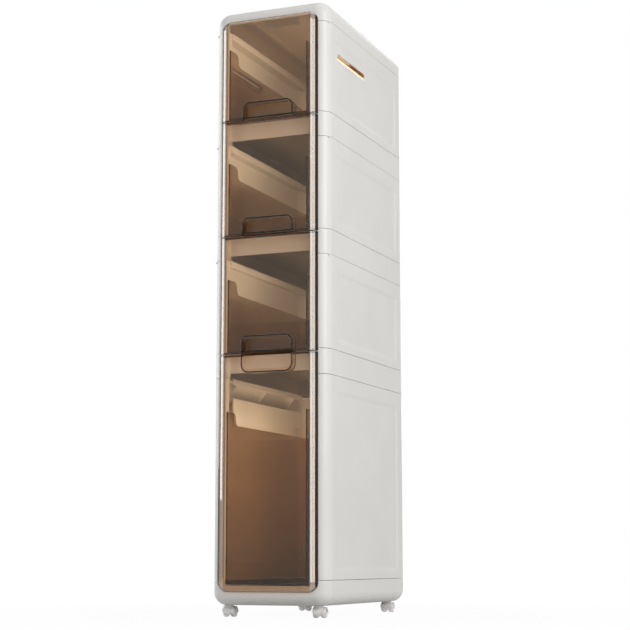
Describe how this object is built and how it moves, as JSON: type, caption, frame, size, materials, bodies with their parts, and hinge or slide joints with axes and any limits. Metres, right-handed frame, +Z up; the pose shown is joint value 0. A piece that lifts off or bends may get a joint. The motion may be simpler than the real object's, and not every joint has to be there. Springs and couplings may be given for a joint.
{
  "type": "storage trolley",
  "caption": "Slim tall storage trolley with a white stacked body, clear amber pull-out drawers with finger pulls, and small clear swivel casters.",
  "frame": {"origin": "on the floor, under the middle of the trolley's bounding box", "axes": "+Z up, +X to the trolley's right-hand side, the drawers open towards -Y"},
  "size_m": [0.22, 0.4116, 1.08],
  "materials": {
    "white_body": "satin",
    "amber_clear": "clear gloss",
    "clear_caster": "clear gloss",
    "steel_axle": "bright",
    "grey_socket": "satin"
  },
  "bodies": {
    "chassis": {"top_cover": "white_body", "base": "white_body", "guide_rail_left": "white_body", "guide_rail_right": "white_body", "side_panel_left_1": "white_body", "side_panel_right_1": "white_body", "back_panel_1": "white_body", "side_panel_left_2": "white_body", "side_panel_right_2": "white_body", "back_panel_2": "white_body", "side_panel_left_3": "white_body", "side_panel_right_3": "white_body", "back_panel_3": "white_body", "side_panel_left_4": "white_body", "side_panel_right_4": "white_body", "back_panel_4": "white_body", "shelf_frame_1": "white_body", "shelf_frame_2": "white_body", "shelf_frame_3": "white_body", "caster_socket_1": "grey_socket", "caster_socket_2": "grey_socket", "caster_socket_3": "grey_socket", "caster_socket_4": "grey_socket"},
    "drawer_1": {"drawer_front_1": "amber_clear", "drawer_box_1": "amber_clear", "drawer_pull_1": "amber_clear"},
    "drawer_2": {"drawer_front_2": "amber_clear", "drawer_box_2": "amber_clear", "drawer_pull_2": "amber_clear"},
    "drawer_3": {"drawer_front_3": "amber_clear", "drawer_box_3": "amber_clear", "drawer_pull_3": "amber_clear"},
    "drawer_4": {"drawer_front_4": "amber_clear", "drawer_box_4": "amber_clear", "drawer_pull_4": "amber_clear"},
    "swivel_1": {"caster_yoke_1": "clear_caster", "caster_axle_1": "steel_axle"},
    "wheels_1": {"caster_wheels_1": "clear_caster"},
    "swivel_2": {"caster_yoke_2": "clear_caster", "caster_axle_2": "steel_axle"},
    "wheels_2": {"caster_wheels_2": "clear_caster"},
    "swivel_3": {"caster_yoke_3": "clear_caster", "caster_axle_3": "steel_axle"},
    "wheels_3": {"caster_wheels_3": "clear_caster"},
    "swivel_4": {"caster_yoke_4": "clear_caster", "caster_axle_4": "steel_axle"},
    "wheels_4": {"caster_wheels_4": "clear_caster"}
  },
  "joints": [
    {"name": "drawer_1_slide", "type": "slide", "parent": "chassis", "child": "drawer_1", "axis": [0, -1, 0], "range_m": [0, 0.3]},
    {"name": "drawer_2_slide", "type": "slide", "parent": "chassis", "child": "drawer_2", "axis": [0, -1, 0], "range_m": [0, 0.3]},
    {"name": "drawer_3_slide", "type": "slide", "parent": "chassis", "child": "drawer_3", "axis": [0, -1, 0], "range_m": [0, 0.3]},
    {"name": "drawer_4_slide", "type": "slide", "parent": "chassis", "child": "drawer_4", "axis": [0, -1, 0], "range_m": [0, 0.3]},
    {"name": "caster_1_swivel", "type": "hinge", "parent": "chassis", "child": "swivel_1", "pos_m": [-0.084, -0.16925, 0.02], "axis": [0, 0, 1], "continuous": true},
    {"name": "caster_1_roll", "type": "hinge", "parent": "swivel_1", "child": "wheels_1", "pos_m": [-0.084, -0.16425, 0.008], "axis": [1, 0, 0], "continuous": true},
    {"name": "caster_2_swivel", "type": "hinge", "parent": "chassis", "child": "swivel_2", "pos_m": [0.084, -0.16925, 0.02], "axis": [0, 0, 1], "continuous": true},
    {"name": "caster_2_roll", "type": "hinge", "parent": "swivel_2", "child": "wheels_2", "pos_m": [0.084, -0.16425, 0.008], "axis": [1, 0, 0], "continuous": true},
    {"name": "caster_3_swivel", "type": "hinge", "parent": "chassis", "child": "swivel_3", "pos_m": [-0.084, 0.16575, 0.02], "axis": [0, 0, 1], "continuous": true},
    {"name": "caster_3_roll", "type": "hinge", "parent": "swivel_3", "child": "wheels_3", "pos_m": [-0.084, 0.17075, 0.008], "axis": [1, 0, 0], "continuous": true},
    {"name": "caster_4_swivel", "type": "hinge", "parent": "chassis", "child": "swivel_4", "pos_m": [0.084, 0.16575, 0.02], "axis": [0, 0, 1], "continuous": true},
    {"name": "caster_4_roll", "type": "hinge", "parent": "swivel_4", "child": "wheels_4", "pos_m": [0.084, 0.17075, 0.008], "axis": [1, 0, 0], "continuous": true}
  ]
}
